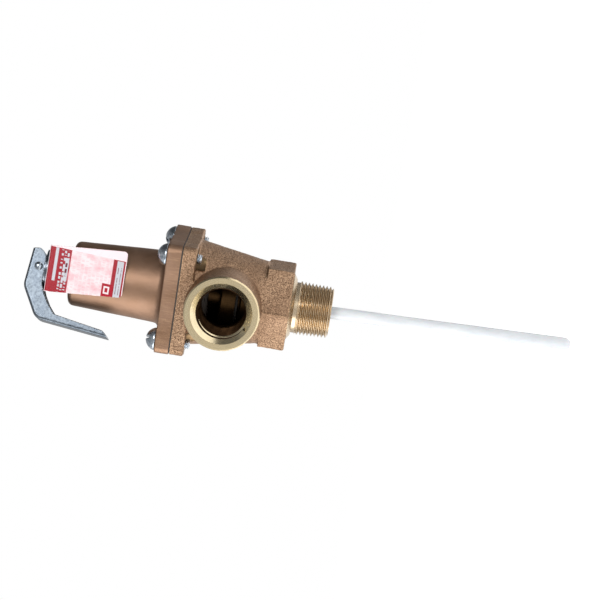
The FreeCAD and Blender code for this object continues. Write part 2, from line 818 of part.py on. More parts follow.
def thermostat_clip():
    """The open retaining ring under the bracket."""
    low, high = pocket_z - clip_thickness, pocket_z
    gap = Part.makeBox(2 * clip_r, clip_groove_r, clip_thickness, Vector(0, -clip_groove_r / 2, low))
    return tube(clip_r, clip_groove_r, low, high).cut(gap)


def thermostat_bracket():
    """The spoked ring that hangs the thermostat in the inlet under the seat."""
    ring = tube(seat_pocket_r, bracket_rim_r, pocket_z, seat_ring_z)
    hub = tube(bracket_hub_r, head_r, pocket_z, seat_ring_z)
    inner = (head_r + bracket_hub_r) / 2
    outer = (bracket_rim_r + seat_pocket_r) / 2
    corner = Vector(inner, -bracket_spoke_width / 2, pocket_z)
    spokes = []
    for k in range(bracket_spokes):
        bar = Part.makeBox(outer - inner, bracket_spoke_width, bracket_thickness, corner)
        spokes.append(bar.rotate(Vector(0, 0, 0), Vector(0, 0, 1), 30 + k * 360 / bracket_spokes))
    return ring.fuse([hub] + spokes).removeSplitter()


makers = {
    "valve_body": valve_body,
    "seat_ring": seat_ring,
    "seat_disc": seat_disc,
    "disc_washer": disc_washer,
    "disc_screw": disc_screw,
    "disc_holder": disc_holder,
    "diaphragm": diaphragm,
    "lower_spring_plate": lower_spring_plate,
    "stem_nut": stem_nut,
    "stem": stem,
    "spring": spring,
    "upper_spring_plate": upper_spring_plate,
    "bonnet": bonnet,
    "adjusting_screw": adjusting_screw,
    "lock_nut": lock_nut,
    "heel_washer": heel_washer,
    "id_tag": id_tag,
    "lever": lever,
    "pivot_pin": pivot_pin,
    "probe_coating": probe_coating_sleeve,
    "probe_tube": probe_tube,
    "wax_charge": wax_charge,
    "piston_seal": piston_seal,
    "push_rod": push_rod,
    "thermostat_head": thermostat_head,
    "thermostat_clip": thermostat_clip,
    "thermostat_bracket": thermostat_bracket,
}

os.makedirs("parts", exist_ok=True)
shapes = {name: make() for name, make in makers.items()}
for number, (x, y) in enumerate(screw_places(), 1):
    shapes[f"flange_screw_{number}"] = flange_screw(x, y)
for name, shape in shapes.items():
    shape.exportStep(f"parts/{name}.step")
    print(name, len(shape.Solids), shape.isValid(), round(shape.Volume, 1))
print("pin height", round(pin_z, 3), "seat", round(seat_z, 3), "joint", round(joint_z, 3))
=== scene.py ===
# %% [markdown]
# # A temperature and pressure relief valve, finished in Blender
#
# This notebook takes a working model of a water heater's relief valve and gives it the looks of the real
# one: sand-cast bronze with machined threads, a satin bonnet, zinc-plated steel, a printed tag and a
# white plastic probe. The working model is fixed: it says where every piece is, and what moves with what.
# Z is the valve's own axis and points at the test lever, and the outlet faces -Y. Everything is in metres.

# %% Load the working model
import math

import bmesh
import bpy
import numpy as np
from mathutils import Matrix, Vector, noise


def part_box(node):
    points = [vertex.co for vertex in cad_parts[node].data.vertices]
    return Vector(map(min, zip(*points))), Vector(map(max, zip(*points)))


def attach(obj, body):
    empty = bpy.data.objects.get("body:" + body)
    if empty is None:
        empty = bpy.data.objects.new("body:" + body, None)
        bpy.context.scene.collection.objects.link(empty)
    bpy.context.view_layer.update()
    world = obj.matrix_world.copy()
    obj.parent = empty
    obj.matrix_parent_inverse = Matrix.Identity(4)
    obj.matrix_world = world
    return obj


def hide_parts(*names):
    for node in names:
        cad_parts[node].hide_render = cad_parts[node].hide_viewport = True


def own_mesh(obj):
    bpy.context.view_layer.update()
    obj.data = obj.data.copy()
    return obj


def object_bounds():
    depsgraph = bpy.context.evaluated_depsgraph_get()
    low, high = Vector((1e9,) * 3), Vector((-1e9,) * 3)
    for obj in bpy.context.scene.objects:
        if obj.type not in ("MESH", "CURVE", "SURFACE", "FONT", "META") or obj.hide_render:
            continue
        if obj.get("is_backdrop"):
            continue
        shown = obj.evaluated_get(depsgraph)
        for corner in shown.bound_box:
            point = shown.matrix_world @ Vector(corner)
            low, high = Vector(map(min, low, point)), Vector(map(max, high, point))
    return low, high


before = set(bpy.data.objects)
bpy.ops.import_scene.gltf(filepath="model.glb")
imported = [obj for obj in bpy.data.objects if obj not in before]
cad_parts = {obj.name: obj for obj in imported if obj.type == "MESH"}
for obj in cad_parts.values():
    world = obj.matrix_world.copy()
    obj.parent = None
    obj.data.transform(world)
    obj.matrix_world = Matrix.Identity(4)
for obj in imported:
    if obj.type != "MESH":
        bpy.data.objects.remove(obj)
cad_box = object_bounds()
mm = 0.001

# %% [markdown]
# ## Levels and sizes read from the model
#
# A piece that replaces or joins a modelled one takes its levels from that one's box, so the looks can't
# drift away from the model. Only a few sizes that no box gives, such as the pitch of the pipe thread and
# the radii of the bores, are stated here.

# %% Read the levels
body_low, body_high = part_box("valve_body")
bonnet_low, bonnet_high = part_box("bonnet")
joint_z = body_high.z
bonnet_z = bonnet_low.z
outlet_y = body_low.y
outlet_z = 53.3 * mm
hex_z = 20.5 * mm
thread_end = 18.9 * mm
floor_z = 42.0 * mm
pocket_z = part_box("thermostat_bracket")[0].z
flange_z = joint_z - 6.85 * mm
print("joint face at", round(joint_z / mm, 2), "mm, outlet face at", round(outlet_y / mm, 2), "mm")

# %% State the bores and threads
thread_pitch = 25.4 / 14 * mm
thread_depth = 0.8 * thread_pitch
thread_taper = 1 / 32
inlet_crest_r = 13.02 * mm
inlet_bore_r = 8.6 * mm
inlet_neck_r = 12.8 * mm
collar_low_r = 14.0 * mm
collar_r = 16.5 * mm
boss_r = 19.0 * mm
boss_chamfer = 1.0 * mm
countersink_r = 15.3 * mm
outlet_crest_r = 11.85 * mm
outlet_bore_r = 11.0 * mm
sink = countersink_r - outlet_crest_r
tap_start = sink - 2 * mm
thread_stop = 17.0 * mm
chamber_r = 19.0 * mm
seat_pocket_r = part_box("seat_ring")[1].x
spot_face_r = 5.6 * mm
spot_face_depth = 4.6 * mm
screw_r = 2.75 * mm
bonnet_above_flange = 47.75 * mm
screws = [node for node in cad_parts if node.startswith("flange_screw")]

# %% [markdown]
# ## Helpers for making pieces
#
# Each piece starts as plain mesh data in the model's own frame, so its object stays at the origin. A lathe
# turns an outline about the valve's axis. A boolean cuts with it, as a real lathe or drill would.

# %% Make, copy and report pieces
def new_piece(name, mesh):
    piece = bpy.data.objects.new(name, mesh)
    bpy.context.scene.collection.objects.link(piece)
    return piece


def copy_node(node, name):
    """A free copy of a modelled node, which may be changed."""
    return new_piece(name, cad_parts[node].data.copy())


def report(piece):
    corners = np.array([v.co for v in piece.data.vertices])
    size = (corners.max(0) - corners.min(0)) / mm
    print(piece.name, len(piece.data.polygons), "faces,", [round(float(s), 1) for s in size], "mm")


# %% Lathe: turn an outline about Z
def lathe(name, outline, segments=96):
    """A closed solid of revolution from (radius, height) points that start and end on the axis."""
    made = bmesh.new()
    start = made.verts.new((0, 0, outline[0][1]))
    end = made.verts.new((0, 0, outline[-1][1]))
    rings = []
    for radius, height in outline[1:-1]:
        turns = [2 * math.pi * k / segments for k in range(segments)]
        rings.append([made.verts.new((radius * math.cos(a), radius * math.sin(a), height)) for a in turns])
    for k in range(segments):
        n = (k + 1) % segments
        made.faces.new((start, rings[0][k], rings[0][n]))
        made.faces.new((end, rings[-1][n], rings[-1][k]))
        for low, high in zip(rings, rings[1:]):
            made.faces.new((low[k], high[k], high[n], low[n]))
    bmesh.ops.recalc_face_normals(made, faces=made.faces)
    mesh = bpy.data.meshes.new(name)
    made.to_mesh(mesh)
    made.free()
    return new_piece(name, mesh)


# %% Cut and join
def apply_modifiers(piece):
    """Replaces the piece's mesh by what its modifiers make of it."""
    shown = piece.evaluated_get(bpy.context.evaluated_depsgraph_get())
    mesh = bpy.data.meshes.new_from_object(shown)
    piece.modifiers.clear()
    piece.data = mesh


def boolean(piece, tool, operation="DIFFERENCE"):
    """Cuts with the tool, or joins it on, and takes the tool away."""
    step = piece.modifiers.new("cut", "BOOLEAN")
    step.operation = operation
    step.solver = "MANIFOLD"
    step.object = tool
    step.material_mode = "TRANSFER"
    apply_modifiers(piece)
    bpy.data.objects.remove(tool)


def paint(piece, material):
    piece.data.materials.clear()
    piece.data.materials.append(material)
    return piece

# %% [markdown]
# ## Helpers for materials
#
# Every finish is a node tree. A few lines that place a node and fill its sockets keep the recipes short
# enough to read. Patterns follow object coordinates, which are the model's own frame, so a pattern stays on
# its piece when a joint turns.

# %% Place nodes
def add(tree, kind, options=None, **inputs):
    """Places a node, sets its options, and fills its sockets with values or with other nodes' sockets."""
    made = tree.nodes.new("ShaderNode" + kind)
    for option, value in (options or {}).items():
        setattr(made, option, value)
    for name, value in inputs.items():
        fill(tree, made.inputs[name.replace("_", " ")], value)
    return made


def fill(tree, socket, value):
    if isinstance(value, bpy.types.NodeSocket):
        tree.links.new(value, socket)
    else:
        socket.default_value = value


def maths(tree, operation, *values, clamp=False):
    made = add(tree, "Math", {"operation": operation, "use_clamp": clamp})
    for socket, value in zip(made.inputs, values):
        fill(tree, socket, value)
    return made.outputs[0]


def mix(tree, factor, first, second, blend="MIX"):
    """A blend of two colours."""
    made = add(tree, "Mix", {"data_type": "RGBA", "blend_type": blend})
    for index, value in ((0, factor), (6, first), (7, second)):
        fill(tree, made.inputs[index], value)
    return made.outputs[2]


def spread(tree, value, low, high, to_low=0.0, to_high=1.0):
    """Stretches the values from low to high over a new range."""
    limits = {"From_Min": low, "From_Max": high, "To_Min": to_low, "To_Max": to_high}
    return add(tree, "MapRange", Value=value, **limits).outputs[0]


def rgb(red, green, blue):
    """A linear colour from the red, green and blue that a screen shows, each from 0 to 255."""
    return tuple((c / 255) ** 2.2 for c in (red, green, blue)) + (1.0,)


# %% Start a material
def new_material(name, **shader):
    """A material with a Principled shader, its tree, and the coordinates that its patterns follow."""
    material = bpy.data.materials.new(name)
    material.use_nodes = True
    tree = material.node_tree
    surface = tree.nodes["Principled BSDF"]
    for socket, value in shader.items():
        surface.inputs[socket.replace("_", " ")].default_value = value
    where = add(tree, "TexCoord").outputs["Object"]
    return material, tree, surface, where


def new_group(name, inputs, outputs):
    """A node group with its sockets made, its tree, and its two ends."""
    group = bpy.data.node_groups.new(name, "ShaderNodeTree")
    for socket, kind, value in inputs:
        made = group.interface.new_socket(socket, in_out="INPUT", socket_type="NodeSocket" + kind)
        if value is not None:
            made.default_value = value
    for socket, kind in outputs:
        group.interface.new_socket(socket, in_out="OUTPUT", socket_type="NodeSocket" + kind)
    start = group.nodes.new("NodeGroupInput").outputs
    end = group.nodes.new("NodeGroupOutput").inputs
    return group, start, end


def use(tree, group, **inputs):
    return add(tree, "Group", {"node_tree": group}, **inputs).outputs


# %% [markdown]
# ## Effects that several finishes share
#
# Sand grain: molten bronze copies the grains of the mould, so a casting's skin is a field of small rounded
# pits and bumps. Noise at two scales gives the height, and a tone that is lighter on the bumps, where
# handling has rubbed them bright.

# %% Sand grain
def make_sand_grain():
    group, start, end = new_group(
        "Sand grain",
        [("Vector", "Vector", None), ("Size", "Float", 1.0)],
        [("Height", "Float"), ("Tone", "Float")],
    )
    sized = add(group, "VectorMath", {"operation": "SCALE"}, Vector=start["Vector"], Scale=start["Size"])
    grains = add(group, "TexNoise", Vector=sized.outputs[0], Scale=2100.0, Detail=3.0, Roughness=0.62)
    pits = add(group, "TexVoronoi", Vector=sized.outputs[0], Scale=1900.0, Randomness=1.0)
    round_pits = spread(group, pits.outputs["Distance"], 0.0, 0.75)
    height = maths(group, "ADD", grains.outputs[0], maths(group, "MULTIPLY", round_pits, 0.45))
    fill(group, end["Height"], height)
    fill(group, end["Tone"], spread(group, height, 0.5, 1.0))
    return group


sand_grain = make_sand_grain()
print("group", sand_grain.name)

# %% [markdown]
# Edge wear: corners are rubbed bright while flats and hollows keep their bloom. The shading normal that a
# small bevel would give differs from the true normal only near an edge, so their difference is a mask.

# %% Edge wear
def make_edge_wear():
    group, start, end = new_group(
        "Edge wear",
        [("Width", "Float", 0.0006), ("Vector", "Vector", None)],
        [("Mask", "Float")],
    )
    rounded = add(group, "Bevel", {"samples": 4}, Radius=start["Width"]).outputs[0]
    flat = add(group, "NewGeometry").outputs["Normal"]
    same = add(group, "VectorMath", {"operation": "DOT_PRODUCT"})
    fill(group, same.inputs[0], rounded)
    fill(group, same.inputs[1], flat)
    edge = spread(group, same.outputs["Value"], 1.0, 0.86)
    wear_and_glare = add(group, "TexNoise", Vector=start["Vector"], Scale=420.0, Detail=3.0).outputs[0]
    fill(group, end["Mask"], maths(group, "MULTIPLY", edge, spread(group, wear_and_glare, 0.3, 0.6), clamp=True))
    return group


edge_wear = make_edge_wear()

# %% [markdown]
# Turning marks: a lathe tool leaves fine rings that run round the piece. Noise that changes quickly along
# the axis and hardly at all around it gives rings of uneven depth. The group takes the distance along the
# cut, so it serves a shaft, a bore or a faced end alike.

# %% Turning marks
def make_turning_marks():
    group, start, end = new_group(
        "Turning marks",
        [("Along", "Float", 0.0), ("Spacing", "Float", 0.0002)],
        [("Height", "Float")],
    )
    lines = maths(group, "DIVIDE", start["Along"], start["Spacing"])
    coarse = add(group, "TexNoise", {"noise_dimensions": "1D"}, W=lines, Scale=1.0, Detail=4.0)
    fill(group, end["Height"], coarse.outputs[0])
    return group


turning_marks = make_turning_marks()

# %% [markdown]
# Smudges: bare metal that has been handled has cloudy patches where it is duller. Broad soft noise varies
# the roughness a little, and shows most in a highlight.

# %% Smudges
def make_smudges():
    group, start, end = new_group(
        "Smudges",
        [("Vector", "Vector", None), ("Size", "Float", 90.0), ("Low", "Float", 0.3), ("High", "Float", 0.5)],
        [("Roughness", "Float"), ("Tone", "Float")],
    )
    cloud = add(group, "TexNoise", Vector=start["Vector"], Scale=start["Size"], Detail=5.0, Roughness=0.6)
    tone = spread(group, cloud.outputs[0], 0.33, 0.67)
    fill(group, end["Tone"], tone)
    made = add(group, "MapRange", Value=tone, To_Min=start["Low"], To_Max=start["High"])
    fill(group, end["Roughness"], made.outputs[0])
    return group


smudges = make_smudges()

# %% [markdown]
# ## Cast bronze
#
# The body is bronze cast in sand and left as it came, apart from where it was machined. It is a metal, so
# its colour is in its reflections: tan on the bumps and dark brown in the pits. A strong bump with a fairly
# rough surface gives the sparkle of thousands of small facets.

# %% Cast bronze
def make_cast_bronze():
    material, tree, surface, where = new_material("sand_cast_bronze", Metallic=1.0)
    grain = use(tree, sand_grain, Vector=where, Size=0.8)
    cloud = use(tree, smudges, Vector=where, Size=55.0, Low=0.42, High=0.58)
    fine = mix(tree, grain["Tone"], rgb(84, 64, 50), rgb(182, 150, 122))
    colour = mix(tree, spread(tree, cloud["Tone"], 0, 1, 0, 0.4), fine, rgb(128, 100, 79))
    wear_and_glare = maths(tree, "MULTIPLY", use(tree, edge_wear, Width=0.0009, Vector=where)["Mask"], 0.5)
    fill(tree, surface.inputs["Base Color"], mix(tree, wear_and_glare, colour, rgb(225, 185, 145)))
    fill(tree, surface.inputs["Roughness"], cloud["Roughness"])
    bump = add(tree, "Bump", Height=grain["Height"], Strength=0.8, Distance=0.00035)
    fill(tree, surface.inputs["Normal"], bump.outputs[0])
    return material


cast_bronze = make_cast_bronze()

# %% [markdown]
# ## Satin bronze of the bonnet
#
# The bonnet's skin is much finer than the body's, with a brown satin tone and a soft sheen. Its flange has
# been linished along its edge, which leaves short fine scratches that run up and down.

# %% Bonnet bronze
def make_bonnet_bronze():
    material, tree, surface, where = new_material("satin_bronze", Metallic=1.0)
    cloud = use(tree, smudges, Vector=where, Size=38.0, Low=0.42, High=0.54)
    grain = use(tree, sand_grain, Vector=where, Size=1.6)
    colour = mix(tree, cloud["Tone"], rgb(132, 103, 82), rgb(152, 123, 104))
    height = add(tree, "SeparateXYZ", Vector=where).outputs["Z"]
    squeezed = add(tree, "Mapping", Vector=where, Scale=(1.0, 1.0, 0.06))
    scratch = add(tree, "TexNoise", Vector=squeezed.outputs[0], Scale=2600.0, Detail=2.0).outputs[0]
    on_flange = spread(tree, height, bonnet_z + 8.2 * mm, bonnet_z + 7.4 * mm)
    marks = maths(tree, "MULTIPLY", spread(tree, scratch, 0.5, 0.75), on_flange)
    brightened = maths(tree, "MULTIPLY", marks, 0.35)
    fill(tree, surface.inputs["Base Color"], mix(tree, brightened, colour, rgb(184, 152, 120)))
    fill(tree, surface.inputs["Roughness"], cloud["Roughness"])
    rough = maths(tree, "ADD", maths(tree, "MULTIPLY", grain["Height"], 0.2), marks)
    bump = add(tree, "Bump", Height=rough, Strength=0.18, Distance=0.0002)
    fill(tree, surface.inputs["Normal"], bump.outputs[0])
    return material


bonnet_bronze = make_bonnet_bronze()

# %% [markdown]
# ## Machined and turned brass
#
# Where a tool has cut the bronze it is bright and golden, with fine rings. The rings run round whichever
# axis the cut had, so the recipe takes the distance that changes across them: the distance from the outlet's
# axis for the faced ring, and the height along the valve for the inlet thread and the inner pieces. The same
# recipe in darker tones is painted shade: in the pockets behind the screw heads, in the bores and threads
# inside the body, and on the brass pieces inside the valve, where little light reaches.

# %% Machined brass
def make_machined(name, outlet_side, light, dark, low=0.16, high=0.3):
    material, tree, surface, where = new_material(name, Metallic=1.0)
    parts = add(tree, "SeparateXYZ", Vector=where).outputs
    if outlet_side:
        across, length = maths(tree, "SUBTRACT", parts["Z"], outlet_z), parts["Y"]
    else:
        across, length = parts["Y"], parts["Z"]
    square = maths(tree, "ADD", maths(tree, "POWER", parts["X"], 2.0), maths(tree, "POWER", across, 2.0))
    along = maths(tree, "ADD", maths(tree, "SQRT", square), length)
    rings = use(tree, turning_marks, Along=along, Spacing=0.00012)["Height"]
    cloud = use(tree, smudges, Vector=where, Size=70.0, Low=low, High=high)
    colour = mix(tree, spread(tree, rings, 0.35, 0.65), dark, light)
    dulled = spread(tree, cloud["Tone"], 0, 1, 0, 0.35)
    fill(tree, surface.inputs["Base Color"], mix(tree, dulled, colour, dark))
    fill(tree, surface.inputs["Roughness"], cloud["Roughness"])
    bump = add(tree, "Bump", Height=rings, Strength=0.25, Distance=0.00003)
    fill(tree, surface.inputs["Normal"], bump.outputs[0])
    return material


cut_bronze = make_machined("cut_bronze", True, rgb(240, 226, 192), rgb(196, 174, 132), 0.14, 0.26)
thread_bronze = make_machined("thread_bronze", False, rgb(216, 198, 170), rgb(168, 148, 122), 0.22, 0.34)
# A darker tone painted as shade in the pockets under the screw heads, with a rougher cut.
dull_cut = make_machined("dull_cut", False, rgb(146, 122, 92), rgb(104, 84, 62), 0.3, 0.46)
# Near-black tones painted as shade inside the bores, the chamber and the outlet thread.
stained_bronze = make_machined("stained_bronze", True, rgb(58, 42, 29), rgb(30, 23, 17), 0.4, 0.6)
turned_brass = make_machined("lathe_brass", False, rgb(220, 190, 124), rgb(186, 152, 92))
# Dark tones painted as shade on the brass pieces deep inside the valve.
wet_brass = make_machined("wet_brass", False, rgb(98, 74, 48), rgb(58, 44, 30), 0.32, 0.5)

# %% [markdown]
# ## Zinc plate
#
# Zinc-plated steel is bluish grey and mottled, with lighter and darker crystals and bright rubbed edges.
# Cell noise gives the crystals, and the edge mask turns the corners bright.

# %% Zinc plate
def make_zinc(name, light, dark, low, high, crystals):
    material, tree, surface, where = new_material(name, Metallic=1.0)
    cells = add(tree, "TexVoronoi", {"feature": "SMOOTH_F1"}, Vector=where, Scale=crystals)
    cloud = use(tree, smudges, Vector=where, Size=160.0, Low=low, High=high)
    mottle = maths(tree, "MULTIPLY", cells.outputs["Distance"], cloud["Tone"])
    colour = mix(tree, spread(tree, mottle, 0.05, 0.4), dark, light)
    wear_and_glare = use(tree, edge_wear, Width=0.0005, Vector=where)["Mask"]
    fill(tree, surface.inputs["Base Color"], mix(tree, wear_and_glare, colour, rgb(232, 236, 240)))
    polish = spread(tree, wear_and_glare, 0, 1, 1, 0.6)
    fill(tree, surface.inputs["Roughness"], maths(tree, "MULTIPLY", cloud["Roughness"], polish))
    grit = add(tree, "TexNoise", Vector=where, Scale=900.0, Detail=3.0).outputs[0]
    bump = add(tree, "Bump", Height=grit, Strength=0.12, Distance=0.0001)
    fill(tree, surface.inputs["Normal"], bump.outputs[0])
    return material


lever_zinc = make_zinc("zinc_plate", rgb(112, 120, 128), rgb(86, 93, 101), 0.26, 0.4, 900.0)
screw_zinc = make_zinc("bright_zinc", rgb(200, 208, 216), rgb(140, 150, 160), 0.12, 0.28, 900.0)
spring_steel = make_zinc("oiled_steel", rgb(120, 122, 128), rgb(52, 54, 60), 0.25, 0.4, 500.0)

# %% [markdown]
# ## Rubber, plastic, copper and wax
#
# These stay mostly out of sight inside the valve, but show when it is looked at through the outlet. The
# probe's skin is the exception: a milky white plastic that lets a little light into it, slightly uneven
# along its length because it was dipped.

# %% Rubber
def make_rubber(name, shade):
    material, tree, surface, where = new_material(name, Metallic=0.0)
    cloud = use(tree, smudges, Vector=where, Size=120.0, Low=0.6, High=0.8)
    fill(tree, surface.inputs["Base Color"], mix(tree, cloud["Tone"], shade, rgb(70, 66, 62)))
    fill(tree, surface.inputs["Roughness"], cloud["Roughness"])
    grit = add(tree, "TexNoise", Vector=where, Scale=2400.0, Detail=2.0).outputs[0]
    bump = add(tree, "Bump", Height=grit, Strength=0.3, Distance=0.00008)
    fill(tree, surface.inputs["Normal"], bump.outputs[0])
    return material


diaphragm_rubber = make_rubber("bell_rubber", rgb(62, 50, 42))
disc_rubber = make_rubber("seat_rubber", rgb(52, 46, 42))

# %% White plastic, copper and wax
def make_soft_gloss(name, light, dark, low, high, metallic=0.0, under=0.0):
    """A smooth material with soft bands along its length, as a dipped or drawn piece has."""
    material, tree, surface, where = new_material(name, Metallic=metallic)
    surface.inputs["Subsurface Weight"].default_value = under
    surface.inputs["Subsurface Scale"].default_value = 0.002
    length = add(tree, "Mapping", Vector=where, Scale=(1.0, 1.0, 0.35))
    cloud = use(tree, smudges, Vector=length.outputs[0], Size=170.0, Low=low, High=high)
    fill(tree, surface.inputs["Base Color"], mix(tree, cloud["Tone"], light, dark))
    fill(tree, surface.inputs["Roughness"], cloud["Roughness"])
    ripple = add(tree, "TexNoise", Vector=length.outputs[0], Scale=260.0, Detail=2.0).outputs[0]
    bump = add(tree, "Bump", Height=ripple, Strength=0.15, Distance=0.0002)
    fill(tree, surface.inputs["Normal"], bump.outputs[0])
    return material


probe_white = rgb(214, 216, 219)
white_plastic = make_soft_gloss("dipped_plastic", probe_white, rgb(198, 201, 205), 0.3, 0.42, under=0.1)
copper = make_soft_gloss("drawn_copper", rgb(214, 140, 104), rgb(180, 104, 76), 0.2, 0.34, metallic=1.0)
wax = make_soft_gloss("set_wax", rgb(226, 214, 180), rgb(206, 190, 150), 0.4, 0.55, under=0.2)

# %% [markdown]
# ## The cast body: rough blank
#
# The foundry pours a rough blank, and a machinist then cuts the faces, bores and threads into it. Working in
# the same order gives the right contrast: soft cast corners beside crisp cut edges. The blank is one skin
# wrapped round the modelled body with its openings plugged, because a wrapped skin rounds every corner and
# fills every inner angle as the moulding sand does.

# %% Wrap a skin round solids
def add_solids(piece, solids):
    """Puts other pieces' meshes into this one, and takes those pieces away."""
    made = bmesh.new()
    made.from_mesh(piece.data)
    for solid in solids:
        solid.data.transform(solid.matrix_basis)
        made.from_mesh(solid.data)
        bpy.data.objects.remove(solid)
    made.to_mesh(piece.data)
    made.free()


def wrap(piece, voxel, rounds):
    """One closed even skin, with its corners softened by a number of rounds of smoothing."""
    skin = piece.modifiers.new("skin", "REMESH")
    skin.mode = "VOXEL"
    skin.voxel_size = voxel
    skin.use_smooth_shade = True
    soft = piece.modifiers.new("soft", "SMOOTH")
    soft.iterations = rounds
    apply_modifiers(piece)


def roughen(piece, size, depth):
    """Sinks the skin by up to the depth, in cloudy patches of about that size."""
    cloud = bpy.data.textures.new("cloud", "CLOUDS")
    cloud.noise_scale = size
    cloud.noise_depth = 2
    sink = piece.modifiers.new("sink", "DISPLACE")
    sink.texture = cloud
    sink.mid_level = 1.0
    sink.strength = depth
    apply_modifiers(piece)
    bpy.data.textures.remove(cloud)


def rod(radius, low, high, x=0.0, y=0.0, name="rod", segments=96):
    """A plain round tool along Z."""
    made = lathe(name, [(0, low), (radius, low), (radius, high), (0, high)], segments)
    made.data.transform(Matrix.Translation((x, y, 0)))
    return made


def to_outlet(tool):
    """Turns a tool made along +Z so that it enters the outlet: its zero comes to the outlet's face."""
    tool.data.transform(Matrix.Translation((0, outlet_y, outlet_z)) @ Matrix.Rotation(-math.pi / 2, 4, "X"))
    return tool


def screw_axis(node):
    low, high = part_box(node)
    return (low.x + high.x) / 2, (low.y + high.y) / 2


# %% Pour the blank
def pour_body():
    blank = copy_node("valve_body", "body_casting")
    above = copy_node("bonnet", "above")
    above.data.transform(Matrix.Translation((0, 0, joint_z - bonnet_z - 2 * mm)))
    plugs = [above, rod(chamber_r + 0.3 * mm, pocket_z, joint_z + 12 * mm)]
    plugs.append(rod(seat_pocket_r, 0, floor_z + mm))
    plugs.append(to_outlet(rod(countersink_r + mm, -1.5 * mm, 25 * mm)))
    plugs.append(to_outlet(rod(boss_r, -1.5 * mm, 3 * mm)))
    for node in screws:
        seat_r = spot_face_r - 0.15 * mm
        plugs.append(rod(seat_r, flange_z - spot_face_depth, joint_z + mm, *screw_axis(node)))
    add_solids(blank, plugs)
    wrap(blank, 0.42 * mm, 9)
    return blank


body = pour_body()
report(body)


# %% [markdown]
# The two halves of the mould never meet quite tight, so a thin ridge runs over the cone and the hexagon
# where they parted. Then the skin is sunk a little in patches of two sizes, for the unevenness of a casting
# and for its grain. It is only ever sunk, so the body keeps its modelled size.

# %% Parting line and skin
def raise_seam(piece, half_width, height):
    """A ridge along the plane X = 0, on the skin below the flange."""
    count = len(piece.data.vertices)
    spots = np.empty(count * 3)
    ways = np.empty(count * 3)
    piece.data.vertices.foreach_get("co", spots)
    piece.data.vertex_normals.foreach_get("vector", ways)
    spots, ways = spots.reshape(-1, 3), ways.reshape(-1, 3)
    ridge = np.clip(1 - (spots[:, 0] / half_width) ** 2, 0, 1) * (spots[:, 2] < flange_z - mm)
    for k in np.nonzero(ridge)[0]:
        ridge[k] *= 0.7 + 0.6 * noise.noise(Vector(spots[k]) / (2.5 * mm))
    piece.data.vertices.foreach_set("co", (spots + ways * (ridge * height)[:, None]).ravel())


raise_seam(body, 0.9 * mm, 0.42 * mm)
roughen(body, 5.0 * mm, 0.35 * mm)
roughen(body, 1.1 * mm, 0.26 * mm)
paint(body, cast_bronze)

# %% [markdown]
# ## The cast body: machining
#
# Each cut is one tool. The flange is faced flat, the chamber bored, the four screw seats spot-faced, and the
# outlet faced, chamfered and countersunk in one pass. Each tool carries the finish of its cut: bright on
# the faces, with painted shade in darker tones in the pockets behind the screws and inside the body.

# %% Face and bore
def cut(piece, tool, material=thread_bronze):
    boolean(piece, paint(tool, material))


def machine_body():
    cut(body, rod(60 * mm, joint_z, joint_z + 60 * mm), cut_bronze)
    cut(body, rod(60 * mm, -20 * mm, hex_z + 0.1 * mm), cut_bronze)
    cut(body, rod(chamber_r, floor_z, joint_z + mm, segments=128), stained_bronze)
    cut(body, rod(seat_pocket_r, pocket_z, floor_z + mm), stained_bronze)
    for node in screws:
        seat = rod(spot_face_r, flange_z - spot_face_depth, flange_z, *screw_axis(node), segments=64)
        cut(body, seat, dull_cut)
    face = [(0, -8 * mm), (boss_r + 5 * mm, -8 * mm), (boss_r + 5 * mm, boss_chamfer + 5 * mm)]
    face += [(boss_r - boss_chamfer, 0), (countersink_r, 0), (outlet_crest_r, sink), (0, sink)]
    cut(body, to_outlet(lathe("facing tool", face, 160)), cut_bronze)
    cut(body, to_outlet(rod(outlet_bore_r, sink - mm, 26 * mm)), stained_bronze)


machine_body()
report(body)


# %% [markdown]
# ## Pipe threads
#
# Both pipe threads are tapered helices. A threaded rod is a round rod whose radius rises and falls with the
# height less the turn, so its ridge climbs one pitch in each turn. The same function makes the inlet's
# male thread, the tap that cuts the outlet, and the screws.

# %% A threaded rod
def threaded_rod(name, length, crest_at, depth, pitch, fade=0.0, lead=0.0, rows=18, segments=120):
    """A rod along +Z whose crests have the radius crest_at(z). The thread fades out over its last stretch."""
    count = round(length / pitch * rows)
    levels = [length * k / count for k in range(count + 1)]
    made = bmesh.new()
    rings = []
    for z in levels:
        ring = []
        for k in range(segments):
            turn = k / segments
            phase = (z / pitch - turn) % 1.0
            ridge = min(max((abs(2 * phase - 1) - 0.1) / 0.8, 0.0), 1.0)
            left = min((length - z) / fade, 1.0) if fade else 1.0
            radius = crest_at(z) - depth * (1 - ridge) * left
            radius = min(radius, crest_at(z) - max(lead - z, 0.0))
            angle = 2 * math.pi * turn
            ring.append(made.verts.new((radius * math.cos(angle), radius * math.sin(angle), z)))
        rings.append(ring)
    start, end = made.verts.new((0, 0, 0)), made.verts.new((0, 0, length))
    for k in range(segments):
        n = (k + 1) % segments
        made.faces.new((start, rings[0][n], rings[0][k]))
        made.faces.new((end, rings[-1][k], rings[-1][n]))
        for low, high in zip(rings, rings[1:]):
            made.faces.new((low[k], low[n], high[n], high[k]))
    bmesh.ops.recalc_face_normals(made, faces=made.faces)
    mesh = bpy.data.meshes.new(name)
    made.to_mesh(mesh)
    made.free()
    return new_piece(name, mesh)


# %% Cut and join the pipe threads
def inlet_crest(z):
    return inlet_crest_r + z * thread_taper


def tap_crest(z):
    return outlet_crest_r + thread_depth - (z + tap_start) * thread_taper


def tap_outlet():
    tap = threaded_rod("tap", 17.0 * mm, tap_crest, thread_depth, thread_pitch)
    tap.data.transform(Matrix.Translation((0, 0, tap_start)))
    cut(body, to_outlet(tap), stained_bronze)


